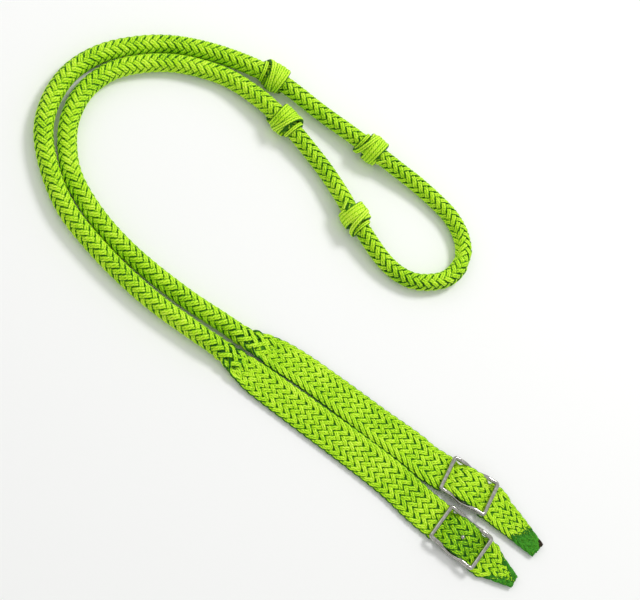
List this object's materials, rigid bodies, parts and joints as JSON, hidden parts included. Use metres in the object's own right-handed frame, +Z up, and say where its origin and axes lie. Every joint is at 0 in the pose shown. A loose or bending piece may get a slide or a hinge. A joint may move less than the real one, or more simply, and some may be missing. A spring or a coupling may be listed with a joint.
{
  "type": "knotted braided reins",
  "caption": "Looped pair of braided rope reins with wrapped grip knots, flat strap ends, bent-wire Conway buckles and sealed tips, laid out in a bend.",
  "frame": {"origin": "middle of the plan box, on the surface the reins lie on", "axes": "+Z up off the surface; +Y along the longer side of the plan, from the sealed tips towards the bend"},
  "size_m": [0.431, 0.4772, 0.0233],
  "materials": {
    "braid": "lime green braided nylon",
    "core": "laid white cord",
    "seal": "heat-sealed dark green end",
    "nickel": "bright nickel plate"
  },
  "bodies": {
    "legs": {"outer_leg_braid": "braid", "outer_leg_core": "core", "inner_leg_braid": "braid", "inner_leg_core": "core", "outer_rear_knot": "braid", "inner_rear_knot": "braid"},
    "loop": {"loop_braid": "braid", "loop_core": "core", "outer_front_knot": "braid", "inner_front_knot": "braid"},
    "outer_strap": {"outer_strap_braid": "braid"},
    "inner_strap": {"inner_strap_braid": "braid"},
    "outer_buckle": {"outer_buckle_frame": "nickel", "outer_buckle_centre_bar": "nickel", "outer_buckle_stud": "nickel", "outer_buckle_braid": "braid"},
    "inner_buckle": {"inner_buckle_frame": "nickel", "inner_buckle_centre_bar": "nickel", "inner_buckle_stud": "nickel", "inner_buckle_braid": "braid"},
    "outer_tip": {"outer_tip_braid": "braid", "outer_tip_seal": "seal"},
    "inner_tip": {"inner_tip_braid": "braid", "inner_tip_seal": "seal"}
  },
  "joints": [
    {"name": "loop_lift", "type": "hinge", "parent": "legs", "child": "loop", "pos_m": [0.018, 0.149, 0.01818], "axis": [0.7071, 0.7071, 0], "range_deg": [-60, 0]},
    {"name": "outer_strap_swing", "type": "hinge", "parent": "legs", "child": "outer_strap", "pos_m": [-0.0648, -0.0527, 0.0075], "axis": [0, 0, -1], "range_deg": [0, 30]},
    {"name": "inner_strap_swing", "type": "hinge", "parent": "legs", "child": "inner_strap", "pos_m": [-0.0372, -0.0257, 0.0075], "axis": [0, 0, 1], "range_deg": [0, 30]},
    {"name": "outer_buckle_lift", "type": "hinge", "parent": "outer_strap", "child": "outer_buckle", "pos_m": [0.11444, -0.1804, 0.00831], "axis": [-0.6149, -0.773, -0.1564], "range_deg": [0, 40]},
    {"name": "inner_buckle_lift", "type": "hinge", "parent": "inner_strap", "child": "inner_buckle", "pos_m": [0.12414, -0.13956, 0.00701], "axis": [-0.515, -0.8572, 0], "range_deg": [0, 40]},
    {"name": "outer_tip_fold", "type": "hinge", "parent": "outer_buckle", "child": "outer_tip", "pos_m": [0.15984, -0.21651, 0.00831], "axis": [-0.6149, -0.773, -0.1564], "range_deg": [0, 80]},
    {"name": "inner_tip_fold", "type": "hinge", "parent": "inner_buckle", "child": "inner_tip", "pos_m": [0.17386, -0.16944, 0.00701], "axis": [-0.515, -0.8572, 0], "range_deg": [0, 80]}
  ]
}
